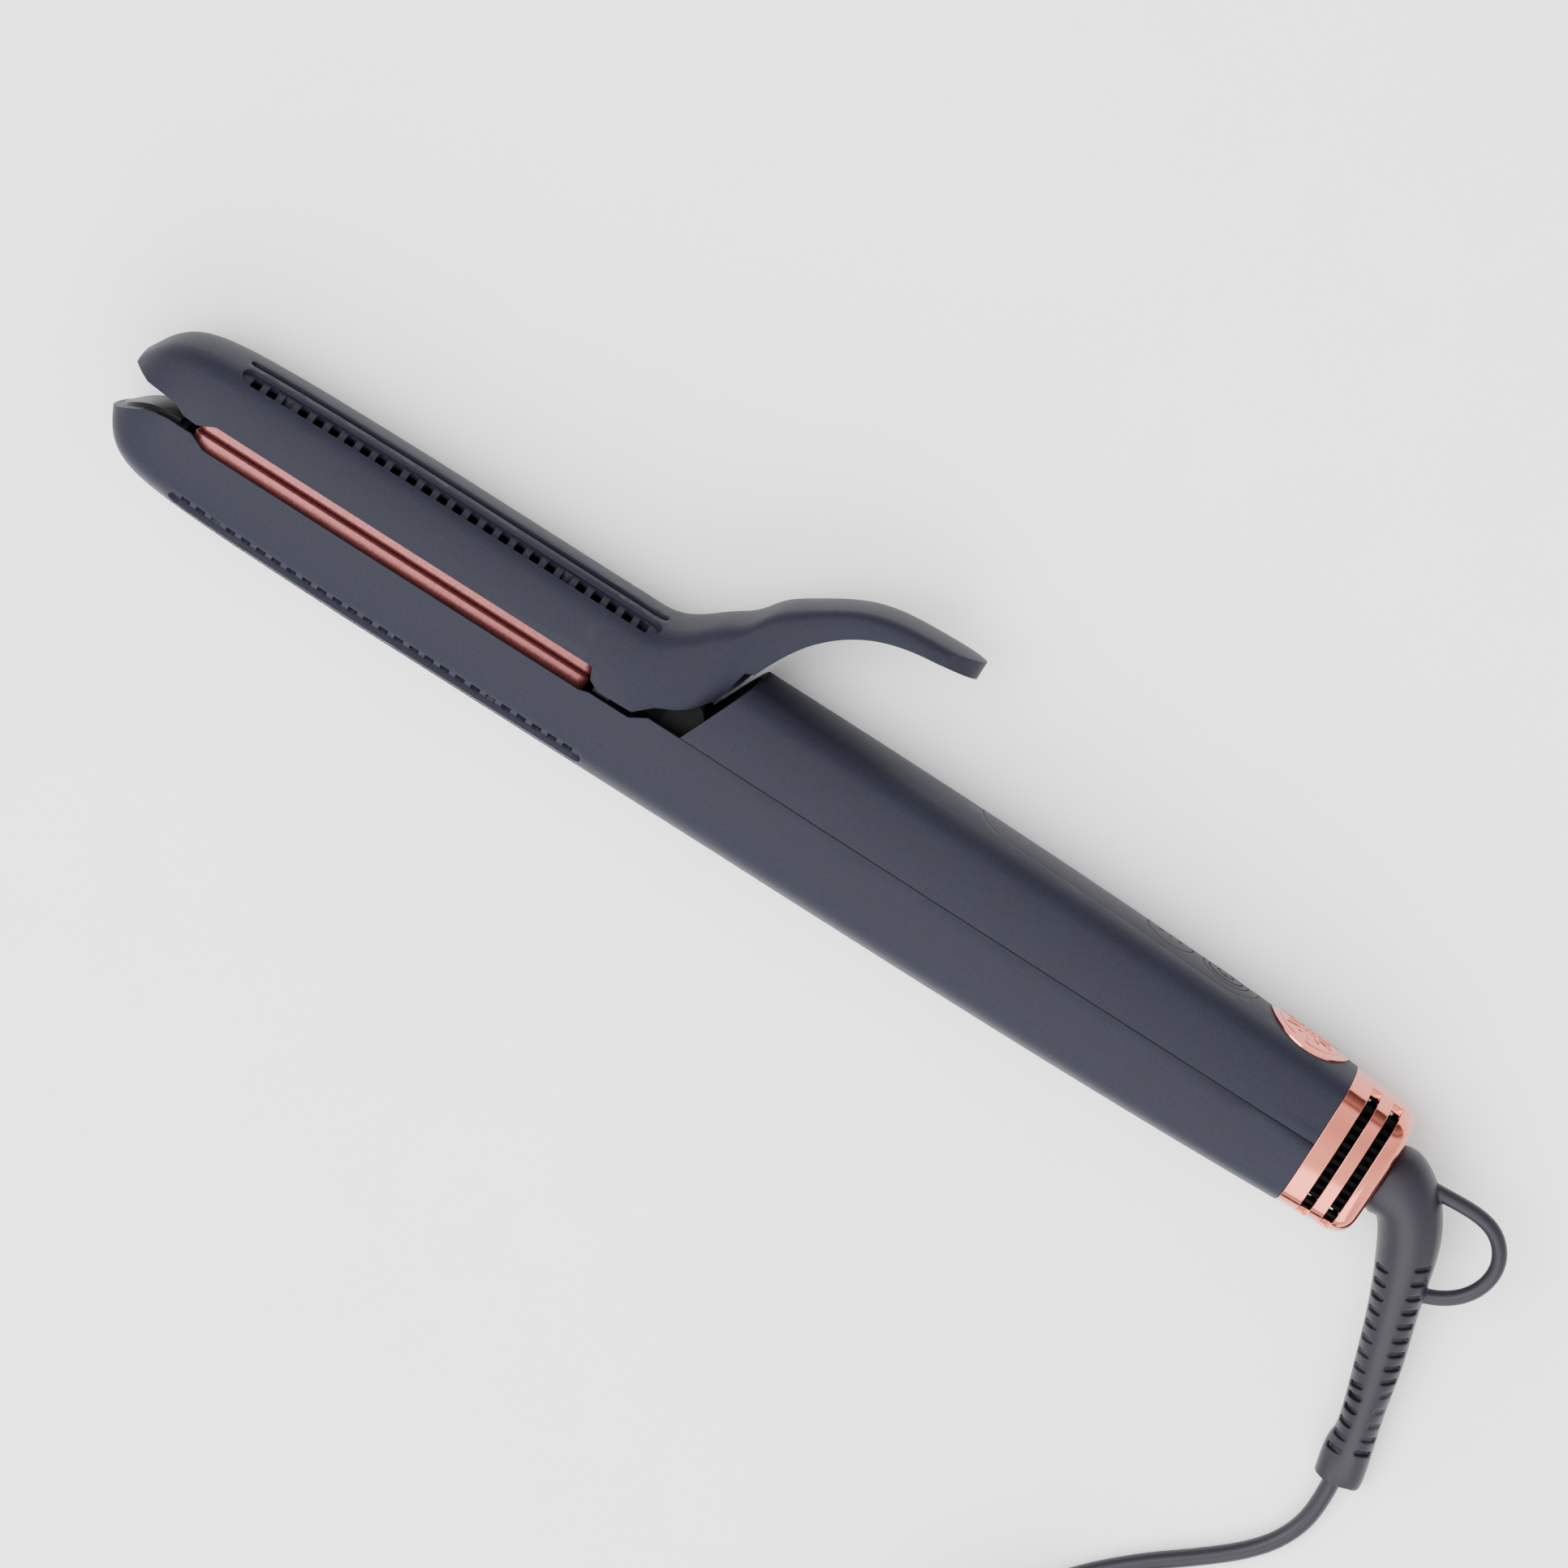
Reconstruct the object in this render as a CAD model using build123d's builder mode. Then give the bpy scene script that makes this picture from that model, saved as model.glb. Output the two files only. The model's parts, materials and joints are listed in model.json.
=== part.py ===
from build123d import *
import math
import os

os.makedirs("parts", exist_ok=True)

# Airflow styling iron lying on its side: a fixed lower jaw that runs back into the handle, a sprung upper
# jaw with a thumb lever, a fan behind the handle, and a cord on a swivel.
# Frame: +X from the jaw tips to the cord, +Y towards the lever, +Z up from the surface it lies on.

# ---- driving sizes, mm ----
start_x = -182.9          # where station 0, just behind the jaw tips, lies in the frame
axis_y = 11.6             # the barrel's axis
half_height = 20.8        # barrel and front of the handle, jaws closed
half_width = 18.5
crown_drop = 4.2          # how far the top of the section falls to its corners
side_drop = 2.6
corner_radius = 8.0
wall = 2.0
gap = 0.15                # face to face gap of fixed covers
slip = 0.25               # gap round pressed buttons

plate_front = 14.5
plate_length = 106.5
plate_half_width = 14.0
plate_thickness = 3.7
contact_gap = 0.05        # from the middle plane to each plate
jaw_edge = 3.1            # the jaw shells' long edges, from the middle plane
frame_half_width = 15.9
frame_height = 3.0
heater_length = 96.0
heater_width = 20.0
heater_height = 1.5
pad_height = 1.5
pad_radius = 3.0

vent_count = 26
vent_pitch = 4.15
vent_first = 21.0
channel_depth = 1.0
# rows: offset sideways from the middle of the crown, channel's width, vent's size along and across
vent_rows = [(13.6, 5.4, 2.5, 4.2), (8.0, 2.8, 2.4, 1.4)]

hinge_back = 23.0         # hinge axis behind the plates' rear end
hinge_y = 3.0
pin_radius = 1.5
pin_fit = 0.05
knuckle_radius = 4.5
knuckle_half_length = 8.0
ear_thickness = 2.4
opening_angle = 12.0

handle_gap_x = 24.5       # front corner of the handle's upper shell behind the plates
handle_length = 171.5
front_slant = 9.3         # how far the shell's front edge leans back to its top
rear_drop = 1.2           # the handle's middle falls this much to the cap
cap_length = 18.0
cap_wall = 1.6

panel_length = 76.1
panel_width = 18.4
panel_depth = 1.0
panel_from_cap = 28.0
button_radius = 6.15
rocker_from_cap = 52.4
power_from_cap = 37.0
button_travel = 0.8
underside_radius = 6.0
speed_from_cap = 41.1
airflow_from_cap = 55.1
emblem_radius = 10.7
emblem_from_cap = 13.6
emblem_proud = 0.35

swivel_radius = 6.4
swivel_fit = 0.08
bearing_radius = 10.0
relief_tilt = 11.2        # degrees the strain relief hangs below level
cord_diameter = 4.4

# ---- places worked out from them ----
axis_z = half_width
plate_rear = plate_front + plate_length
hinge_x = plate_rear + hinge_back
handle_front = plate_rear + handle_gap_x
cap_front = handle_front + handle_length
cap_rear = cap_front + cap_length
frame_top = contact_gap + plate_thickness
pad_top = frame_top + frame_height
post_top = pad_top + pad_height


def side(z=0.0):
    """The plane of the side view, z above the axis."""
    return Plane((start_x, axis_y, axis_z + z))


def across(x):
    """The plane of a cross section; its first direction is +Y and its second +Z."""
    return Plane(origin=(start_x + x, axis_y, axis_z), x_dir=(0, 1, 0), z_dir=(1, 0, 0))


def above(y):
    """The plane of the view from the lever side, y from the axis."""
    return Plane(origin=(start_x, axis_y + y, axis_z), x_dir=(1, 0, 0), z_dir=(0, 1, 0))


def oval(x, middle, tall, wide, crown):
    """A crowned cross section: four gentle arcs with rounded corners between them."""
    edge_y = tall - crown_drop * crown
    edge_z = wide - side_drop * crown
    with BuildSketch(across(x)) as outline:
        with BuildLine():
            ThreePointArc((middle + edge_y, -edge_z), (middle + tall, 0), (middle + edge_y, edge_z))
            ThreePointArc((middle + edge_y, edge_z), (middle, wide), (middle - edge_y, edge_z))
            ThreePointArc((middle - edge_y, edge_z), (middle - tall, 0), (middle - edge_y, -edge_z))
            ThreePointArc((middle - edge_y, -edge_z), (middle, -wide), (middle + edge_y, -edge_z))
        make_face()
        fillet(outline.vertices(), corner_radius * crown)
    return outline.sketch.face()


# nose: station, share of the height, share of the width
nose_shape = [
    (-5.6, 0.37, 0.42),
    (-3.4, 0.55, 0.60),
    (0.6, 0.755, 0.785),
    (6.0, 0.868, 0.895),
    (14.0, 0.93, 0.955),
    (28.0, 0.97, 0.985),
    (50.0, 0.992, 1.0),
]
rear_share = 0.857        # the section at the cap, as a share of the barrel's
section_step = 17.0       # about how far apart the sections stand where the shape is even
# lever: run behind the barrel, rise of its top, height and width of the section, share of the crown
barrel_end = plate_rear - 5.0
lever_step = 0.03         # the lever starts this much proud of the barrel all round
lever_shape = [
    (10.0, 0.0, half_height, half_width, 1.0),
    (18.5, 3.0, half_height - 0.8, half_width - 0.8, 0.9),
    (25.0, 8.0, half_height - 2.5, half_width - 2.0, 0.75),
    (31.5, 14.3, 15.0, half_width - 3.7, 0.6),
    (38.0, 19.8, 11.5, half_width - 5.1, 0.48),
    (43.5, 23.2, 9.5, half_width - 5.8, 0.4),
    (51.5, 27.0, 7.6, half_width - 6.4, 0.36),
    (62.5, 29.0, 6.6, half_width - 7.0, 0.34),
    (73.7, 29.5, 6.3, half_width - 7.6, 0.33),
    (80.5, 28.9, 6.0, half_width - 8.2, 0.32),
]


def nose_sections(grow):
    return [
        oval(x, 0, half_height * tall + grow, half_width * wide + grow, tall)
        for x, tall, wide in nose_shape
    ]


def between(start, end):
    """Evenly spaced stations after start, up to and with end."""
    steps = math.ceil((end - start) / section_step)
    return [start + (end - start) * (i + 1) / steps for i in range(steps)]


def body_hull(grow):
    """The outside of the lower jaw, handle and cap, grown outwards by grow."""
    sections = nose_sections(grow)
    for x in between(nose_shape[-1][0], handle_front):
        sections.append(oval(x, 0, half_height + grow, half_width + grow, 1.0))
    for x in between(handle_front, cap_rear):
        along = (x - handle_front) / handle_length
        share = 1 - (1 - rear_share) * along**3
        tall = half_height * share + grow
        wide = half_width * share + grow
        sections.append(oval(x, -rear_drop * along**2, tall, wide, share))
    with BuildPart() as hull:
        loft(sections)
    return hull.part


def lever_hull():
    """The outside of the lever, from the barrel's end to the thumb rest."""
    tall = half_height + lever_step
    wide = half_width + lever_step
    sections = [oval(barrel_end + x, 0, tall, wide, 1.0) for x in (0.0, 3.0, 6.0)]
    for run, rise, tall, wide, crown in lever_shape:
        middle = half_height + rise - tall
        sections.append(oval(barrel_end + run, middle, tall, wide, crown))
    with BuildPart() as hull:
        loft(sections)
    return hull.part


def block(x, y, z):
    """A plain box between stations x, heights y and depths z, each given as (low, high)."""
    with BuildPart(side()) as solid:
        with Locations(((x[0] + x[1]) / 2, (y[0] + y[1]) / 2, (z[0] + z[1]) / 2)):
            Box(x[1] - x[0], y[1] - y[0], z[1] - z[0])
    return solid.part


def post(x, z, y, radius):
    """A round post at station x and depth z, between heights y (low, high)."""
    with BuildPart() as solid:
        with BuildSketch(above(y[0])):
            with Locations((x, -z)):
                Circle(radius)
        extrude(amount=y[1] - y[0])
    return solid.part


def rod(y, x, radius):
    """A round rod along the handle at height y, between stations x (low, high)."""
    with BuildPart() as solid:
        with BuildSketch(across(x[0])):
            with Locations((y, 0)):
                Circle(radius)
        extrude(amount=x[1] - x[0])
    return solid.part


def pin(x, y, z, radius):
    """A round pin across the handle at station x and height y, between depths z (low, high)."""
    with BuildPart() as solid:
        with BuildSketch(side(z[0])):
            with Locations((x, y)):
                Circle(radius)
        extrude(amount=z[1] - z[0])
    return solid.part


body_outside = body_hull(0.0)
body_inside = body_hull(-wall)
lip_inside = body_hull(-wall / 2)


# ---- side profiles of the two jaws ----
with BuildPart() as lower_region:
    with BuildSketch(side()):
        with BuildLine():
            Polyline(
                (-8, -8.8), (-1.8, -5.2), (1.4, -3.2), (4.8, -1.9), (8.0, -1.3), (plate_front, -1.2),
                (plate_front + 4.2, -jaw_edge), (plate_rear - 1, -jaw_edge), (plate_rear + 1.5, -2.4),
                (plate_rear + 12, -2.4), (plate_rear + 16, -gap / 2), (handle_front, -gap / 2),
                (cap_front, -rear_drop - gap / 2), (cap_front, -40), (-8, -40), (-8, -8.8),
            )
        make_face()
    extrude(amount=half_width + 5, both=True)

with BuildPart() as arm_region:
    with BuildSketch(side()):
        with BuildLine():
            under = Polyline(
                (-8, 5.2), (-0.5, 2.9), (7.4, 2.9), (10.7, 1.3), (plate_front, 1.1),
                (plate_front + 4.2, jaw_edge), (plate_rear - 1, jaw_edge), (plate_rear + 0.2, 0.3),
                (plate_rear + 3, -1.1), (plate_rear + 12, -1.0), (plate_rear + 16, 2.6),
                (plate_rear + 20.2, 4.5),
            )
            rise = Spline(
                under @ 1,
                (plate_rear + 24.6, 8.2), (plate_rear + 30.5, 19.0), (plate_rear + 38.2, 32.9),
                (plate_rear + 50.4, 41.9), (plate_rear + 68.4, 45.2), (plate_rear + 78, 45.6),
            )
            Polyline(rise @ 1, (plate_rear + 78, 70), (-8, 70), under @ 0)
        make_face()
    extrude(amount=half_width + 5, both=True)


snug = body_hull(-wall - 0.1)     # what fits inside the shells
far = 200.0                       # half size of boxes that only have to be large

with BuildPart() as arm_outside:
    add(body_outside)
    add(block((barrel_end, 2 * far), (-far, far), (-far, far)), mode=Mode.SUBTRACT)
    add(lever_hull())
    add(arm_region.part, mode=Mode.INTERSECT)
    with BuildSketch(above(0)):
        with Locations((plate_rear - 60, 0)):
            Rectangle(200, 2 * half_width + 14)
        with Locations((plate_rear + 40, 0)):
            Ellipse(34.5, half_width - 2.5)
    extrude(amount=80, both=True, mode=Mode.INTERSECT)



crown_radius = ((half_width - side_drop) ** 2 + crown_drop**2) / (2 * crown_drop)


def crown_plane(offset):
    """The plane that touches the crown at offset sideways from its middle, half way along the vents."""
    lean = math.asin(offset / crown_radius)
    middle = start_x + vent_first + vent_pitch * (vent_count - 1) / 2
    height = half_height - crown_radius * (1 - math.cos(lean))
    return Plane(
        origin=(middle, axis_y + height, axis_z + offset),
        x_dir=(1, 0, 0),
        z_dir=(0, math.cos(lean), math.sin(lean)),
    )


with BuildPart() as vents:
    for offset, channel_width, vent_length, vent_width in vent_rows:
        for edge in (-1, 1):
            with BuildSketch(crown_plane(edge * offset)):
                SlotOverall(vent_pitch * (vent_count + 1), channel_width)
    extrude(amount=5, both=True)
    add(body_hull(-channel_depth), mode=Mode.SUBTRACT)
    for offset, channel_width, vent_length, vent_width in vent_rows:
        for edge in (-1, 1):
            with BuildSketch(crown_plane(edge * offset)):
                with GridLocations(vent_pitch, 1, vent_count, 1):
                    if vent_width > vent_length:
                        SlotOverall(vent_width, vent_length, rotation=90)
                    else:
                        SlotOverall(vent_length, vent_width)
    extrude(amount=4.5, both=True)

pad_places = [(x, z) for x in (plate_front + 15, plate_rear - 17) for z in (-9, 9)]

# ---- hinge ----
knuckle_block = block((plate_rear + 6.5, hinge_x), (-0.9, hinge_y + 4), (-knuckle_half_length, knuckle_half_length))
ear_inside = knuckle_half_length + 0.3
ear_outside = ear_inside + ear_thickness
base_top = -10.4
base_bottom = base_top - 1.6
bracket_screw_x = hinge_x + 11
board_top = -12.6
board_bottom = board_top - 1.6
board_x = (handle_front + 22, cap_front - 33)
board_places = [(x, z) for x in (board_x[0] + 5, board_x[1] - 5) for z in (-8, 8)]


def screws(places, head_y, head_height, head_radius, tip_y, shank_radius):
    """Pan head screws along Y at places (x, z), the head between head_y and head_y + head_height."""
    with BuildPart() as group:
        for x, z in places:
            add(post(x, z, (head_y, head_y + head_height), head_radius))
            add(post(x, z, (tip_y, head_y + head_height / 2), shank_radius))
    return group.part


bracket_screws = screws([(bracket_screw_x, z) for z in (-6.5, 6.5)], base_top, 1.6, 2.6, base_bottom - 5, 1.4)
board_screws = screws(board_places, board_top, 1.2, 2.2, board_bottom - 4, 1.1)
arm_screws = screws([(plate_rear + 10, z) for z in (-4.5, 4.5)], -0.9, 1.4, 2.4, 14, 1.4)

with BuildPart() as hinge_bracket:
    for z in (-ear_outside, ear_inside):
        with BuildSketch(side(z)):
            with Locations((hinge_x, hinge_y)):
                Circle(knuckle_radius)
            with Locations((hinge_x, (hinge_y + base_bottom) / 2)):
                Rectangle(2 * knuckle_radius, hinge_y - base_bottom)
        extrude(amount=ear_thickness)
    add(block((hinge_x - knuckle_radius, hinge_x + 15), (base_bottom, base_top), (-ear_outside, ear_outside)))
    add(pin(hinge_x, hinge_y, (-ear_outside, ear_outside), pin_radius), mode=Mode.SUBTRACT)
    add(bracket_screws, mode=Mode.SUBTRACT)

hinge_pin = pin(hinge_x, hinge_y, (-ear_outside, ear_outside), pin_radius)

with BuildPart() as hinge_knuckle:
    add(knuckle_block)
    add(pin(hinge_x, hinge_y, (-knuckle_half_length, knuckle_half_length), knuckle_radius))
    add(pin(hinge_x, hinge_y, (-3.5, 3.5), knuckle_radius + 0.9), mode=Mode.SUBTRACT)
    bore = pin(hinge_x, hinge_y, (-ear_outside, ear_outside), pin_radius + pin_fit)
    add(bore, mode=Mode.SUBTRACT)
    add(arm_screws, mode=Mode.SUBTRACT)

spring_radius = pin_radius + 1.25
spring_wire = 0.45
spring_turns = 5
spring_pitch = 1.1
with BuildPart() as hinge_spring:
    with BuildLine(Plane((start_x + hinge_x, axis_y + hinge_y, axis_z - spring_turns * spring_pitch / 2))) as coil:
        Helix(spring_pitch, spring_turns * spring_pitch, spring_radius)
    with BuildSketch(Plane(coil.line @ 0, z_dir=coil.line % 0)):
        Circle(spring_wire)
    sweep(path=coil.line)
    for z, y in ((-1, (base_top, hinge_y + 0.5)), (1, (hinge_y - 0.5, hinge_y + 2.4))):
        add(post(hinge_x + spring_radius, z * spring_turns * spring_pitch / 2, y, spring_wire + 0.15))

cover_setback = 7.5
with BuildPart() as hinge_cover:
    with BuildSketch(side()):
        with BuildLine():
            foot = handle_front + cover_setback + front_slant * base_top / half_height
            head = handle_front + cover_setback + front_slant
            Polyline(
                (foot, base_top), (head, half_height), (head + 1.6, half_height),
                (foot + 1.6, base_top), (foot, base_top),
            )
        make_face()
    extrude(amount=half_width, both=True)
    add(snug, mode=Mode.INTERSECT)

# ---- jaws: plate, heater, carrier, pads and nose insert, the lower ones; the upper ones are their mirror ----
with BuildPart() as jaw_plate:
    add(block((plate_front, plate_rear), (-frame_top, -contact_gap), (-plate_half_width, plate_half_width)))
    fillet(jaw_plate.edges().filter_by(Axis.Y), 2.5)
    fillet(jaw_plate.faces().sort_by(Axis.Y)[-1].edges(), 1.0)

heater_x = (plate_front + plate_length / 2 - heater_length / 2, plate_front + plate_length / 2 + heater_length / 2)
heater_side = heater_width / 2
jaw_heater = block(heater_x, (-frame_top - heater_height, -frame_top), (-heater_side, heater_side))

with BuildPart() as jaw_frame:
    add(block((plate_front - 1.4, plate_rear + 0.8), (-pad_top, -frame_top), (-frame_half_width, frame_half_width)))
    room = 0.2
    pocket_x = (heater_x[0] - room, heater_x[1] + room)
    pocket_y = (-frame_top - heater_height, -frame_top)
    add(block(pocket_x, pocket_y, (-heater_side - room, heater_side + room)), mode=Mode.SUBTRACT)
    add(snug, mode=Mode.INTERSECT)

with BuildPart() as jaw_pads:
    for x, z in pad_places:
        add(post(x, z, (-post_top, -pad_top), pad_radius))

insert_end = plate_front - 4
with BuildPart() as lower_tip_insert:
    with BuildSketch(side()):
        with BuildLine():
            Spline((-4.4, -6.4), (-1.8, -4.2), (1.4, -2.1), (4.8, -0.9), (insert_end, -0.45))
            Polyline((insert_end, -0.45), (insert_end, -5.5), (1.0, -7.5), (-4.4, -9.0), (-4.4, -6.4))
        make_face()
    extrude(amount=half_width, both=True)
    with BuildSketch(above(0)):
        with Locations((insert_end, 0)):
            Ellipse(14.2, 12.5)
    extrude(amount=20, both=True, mode=Mode.INTERSECT)

with BuildPart() as upper_tip_insert:
    with BuildSketch(side()):
        with BuildLine():
            Spline((-4.4, 3.9), (-0.5, 2.3), (4.0, 2.0), (insert_end, 1.9))
            Polyline((insert_end, 1.9), (insert_end, 5.5), (1.0, 7.5), (-4.4, 8.0), (-4.4, 3.9))
        make_face()
    extrude(amount=half_width, both=True)
    with BuildSketch(above(0)):
        with Locations((insert_end, 0)):
            Ellipse(14.2, 12.5)
    extrude(amount=20, both=True, mode=Mode.INTERSECT)

cavity_front = plate_front - 2
bumper = block((plate_rear + 1.8, plate_rear + 6.2), (-2.05, -0.3), (-15.5, 15.5))

with BuildPart() as lower_vents:
    add(vents.part)
    mirror(about=Plane((0, axis_y, 0), z_dir=(0, 1, 0)), mode=Mode.REPLACE)

# ---- buttons, panel and emblem ----
rocker_x = cap_front - rocker_from_cap
power_x = cap_front - power_from_cap
speed_x = cap_front - speed_from_cap
airflow_x = cap_front - airflow_from_cap
emblem_x = cap_front - emblem_from_cap
panel_x = cap_front - panel_from_cap - panel_length / 2
button_floor = 15.2
under_floor = 16.2


def round_prism(x, radius, low, high):
    """A round prism along Y at station x, between heights low and high."""
    return post(x, 0, (low, high), radius)


with BuildPart() as panel_pocket:
    with BuildSketch(above(0)):
        with Locations((panel_x, 0)):
            SlotOverall(panel_length, panel_width)
    extrude(amount=half_height + 5)
    add(body_hull(-panel_depth), mode=Mode.SUBTRACT)

with BuildPart() as control_panel:
    with BuildSketch(above(0)):
        with Locations((panel_x, 0)):
            SlotOverall(panel_length - 2 * gap, panel_width - 2 * gap)
    extrude(amount=half_height + 5)
    add(panel_pocket.part, mode=Mode.INTERSECT)
    add(body_outside, mode=Mode.INTERSECT)
    for x in (rocker_x, power_x):
        add(round_prism(x, button_radius + slip, 0, 30), mode=Mode.SUBTRACT)


def button(x, radius, low, high):
    """A round push button whose face follows the outside of the handle."""
    with BuildPart() as cap:
        add(round_prism(x, radius, low, high))
        add(body_outside, mode=Mode.INTERSECT)
    return cap.part


power_button = button(power_x, button_radius, button_floor, 30)
temperature_rocker = button(rocker_x, button_radius, button_floor + 0.3, 30)
speed_button = button(speed_x, underside_radius, -30, -under_floor)
airflow_button = button(airflow_x, underside_radius, -30, -under_floor)

emblem_seat = body_hull(-0.8)
with BuildPart() as emblem_disc:
    add(round_prism(emblem_x, emblem_radius, 0, 30))
    add(body_hull(emblem_proud), mode=Mode.INTERSECT)
    add(emblem_seat, mode=Mode.SUBTRACT)

control_y = (button_floor - button_travel - 2.8, button_floor - button_travel - 1.2)
control_x = (panel_x - panel_length / 2 + 6, panel_x + panel_length / 2 - 1)
control_post_x = (control_x[0] + 4, (control_x[0] + control_x[1]) / 2 - 2)
with BuildPart() as control_board:
    add(block(control_x, control_y, (-9, 9)))

with BuildPart() as control_posts:
    for x in control_post_x:
        for z in (-6.5, 6.5):
            add(post(x, z, (control_y[1], half_height), 2))
    add(body_hull(-panel_depth - 0.2), mode=Mode.INTERSECT)

# ---- shells ----
with BuildPart() as lower_posts:
    for x, z in pad_places:
        add(post(x, z, (-half_height, -post_top), pad_radius - 0.4))
    for z in (-6.5, 6.5):
        add(post(bracket_screw_x, z, (-half_height, base_bottom), 3.2))
    for x, z in board_places:
        add(post(x, z, (-half_height, board_bottom), 2.2))
    add(lip_inside, mode=Mode.INTERSECT)

with BuildPart() as upper_posts:
    for x, z in pad_places:
        add(post(x, z, (post_top, half_height), pad_radius - 0.4))
    add(lip_inside, mode=Mode.INTERSECT)

with BuildPart() as cavity:
    add(body_inside)
    add(block((cavity_front, cap_front + 5), (-far, far), (-far, far)), mode=Mode.INTERSECT)

with BuildPart() as lip:
    add(lip_inside)
    add(block((handle_front + 4, cap_front), (-4, 1.0), (-far, far)), mode=Mode.INTERSECT)

with BuildPart() as lower_shell:
    add(body_outside)
    add(lower_region.part, mode=Mode.INTERSECT)
    add(lip.part)
    add(cavity.part, mode=Mode.SUBTRACT)
    add(lower_tip_insert.part, mode=Mode.SUBTRACT)
    for channel in lower_vents.part.solids():
        add(channel, mode=Mode.SUBTRACT)
    for x, radius in ((speed_x, underside_radius), (airflow_x, underside_radius)):
        add(round_prism(x, radius + slip, -30, 0), mode=Mode.SUBTRACT)
    add(lower_posts.part)
    add(bracket_screws, mode=Mode.SUBTRACT)
    add(board_screws, mode=Mode.SUBTRACT)

over = 2.0                # how far cutting profiles reach past the top, as a share of the half height
with BuildPart() as handle_shell:
    with BuildSketch(side()):
        with BuildLine():
            Polyline(
                (handle_front, gap / 2), (cap_front, -rear_drop + gap / 2), (cap_front, over * half_height),
                (handle_front + over * front_slant, over * half_height), (handle_front, gap / 2),
            )
        make_face()
    extrude(amount=half_width + 5, both=True)
    add(body_outside, mode=Mode.INTERSECT)
    add(cavity.part, mode=Mode.SUBTRACT)
    add(lip.part, mode=Mode.SUBTRACT)
    add(panel_pocket.part, mode=Mode.SUBTRACT)
    for x in (rocker_x, power_x):
        add(round_prism(x, button_radius + slip, 0, 30), mode=Mode.SUBTRACT)
    add(emblem_disc.part, mode=Mode.SUBTRACT)
    add(control_posts.part)

with BuildPart() as arm_cavity:
    add(body_inside)
    add(block((cavity_front, plate_rear + 1), (-far, far), (-far, far)), mode=Mode.INTERSECT)

with BuildPart() as handle_front_room:
    with BuildSketch(side()):
        with BuildLine():
            edge_x = handle_front - 0.45
            back_x = handle_front + 30
            Polyline(
                (edge_x, -1), (edge_x + over * front_slant, over * half_height), (back_x, over * half_height),
                (back_x, -1), (edge_x, -1),
            )
        make_face()
    extrude(amount=half_width + 5, both=True)
    add(body_hull(0.45), mode=Mode.INTERSECT)
    add(body_hull(-wall - 0.45), mode=Mode.SUBTRACT)

hinge_axis = Axis((start_x + hinge_x, axis_y + hinge_y, axis_z), (0, 0, 1))
with BuildPart() as handle_sweep:
    for step in range(4):
        add(handle_front_room.part.rotate(hinge_axis, opening_angle * step / 3))

with BuildPart() as arm_shell:
    add(arm_outside.part)
    add(arm_cavity.part, mode=Mode.SUBTRACT)
    add(upper_tip_insert.part, mode=Mode.SUBTRACT)
    for channel in vents.part.solids():
        add(channel, mode=Mode.SUBTRACT)
    add(knuckle_block, mode=Mode.SUBTRACT)
    add(pin(hinge_x, hinge_y, (-ear_outside - 0.5, ear_outside + 0.5), knuckle_radius + 0.8), mode=Mode.SUBTRACT)
    add(bumper, mode=Mode.SUBTRACT)
    add(arm_screws, mode=Mode.SUBTRACT)
    add(handle_sweep.part, mode=Mode.SUBTRACT)
    add(upper_posts.part)

# ---- electronics ----
with BuildPart() as main_board:
    add(block(board_x, (board_bottom, board_top), (-11, 11)))
    add(board_screws, mode=Mode.SUBTRACT)

with BuildPart() as board_components:
    add(block((board_x[0] + 12, board_x[0] + 28), (board_top, board_top + 11), (-8, 8)))
    add(rod(board_top + 5, (board_x[0] + 34, board_x[0] + 50), 5))
    add(block((board_x[0] + 58, board_x[0] + 72), (board_top, board_top + 8), (-6, 2)))
    add(block((board_x[0] + 80, board_x[0] + 94), (board_top, board_top + 2.2), (-7, 7)))

with BuildPart() as tact_switches:
    for x in (rocker_x - 2.6, rocker_x + 2.6, power_x):
        add(block((x - 2, x + 2), (control_y[1], button_floor - button_travel - 0.1), (-2, 2)))
    for x in (speed_x, airflow_x):
        add(block((x - 3, x + 3), (-under_floor + button_travel + 0.1, board_bottom), (-3, 3)))

# ---- fan ----
fan_y = -rear_drop
fan_x = cap_front - 19
fan_radius = 12.4
duct_inside = fan_radius + 0.5
shaft_radius = 1.0
motor_radius = 7.5
motor_x = (fan_x - 18, fan_x - 1.2)
with BuildPart() as fan_motor:
    add(rod(fan_y, motor_x, motor_radius))
    add(rod(fan_y, (motor_x[0] + 8, motor_x[1]), shaft_radius + 0.05), mode=Mode.SUBTRACT)

with BuildPart() as duct_flange:
    add(snug)
    add(block((fan_x - 6.5, fan_x - 5), (-far, far), (-far, far)), mode=Mode.INTERSECT)

with BuildPart() as fan_duct:
    add(rod(fan_y, (fan_x - 7.5, fan_x + 9), duct_inside + 0.9))
    add(duct_flange.part)
    add(rod(fan_y, (fan_x - 8, fan_x + 10), duct_inside), mode=Mode.SUBTRACT)
    add(rod(fan_y, (fan_x - 6.5, fan_x - 1.5), motor_radius + 1.2))
    for turn in range(3):
        with BuildSketch(Plane(origin=(start_x + fan_x - 6, axis_y + fan_y, axis_z), z_dir=(1, 0, 0))):
            with Locations(Rot(0, 0, 30 + 120 * turn) * Pos(duct_inside - 2, 0)):
                Rectangle(6, 1.6)
        extrude(amount=4)
    add(rod(fan_y, (fan_x - 8, fan_x), motor_radius), mode=Mode.SUBTRACT)

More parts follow.
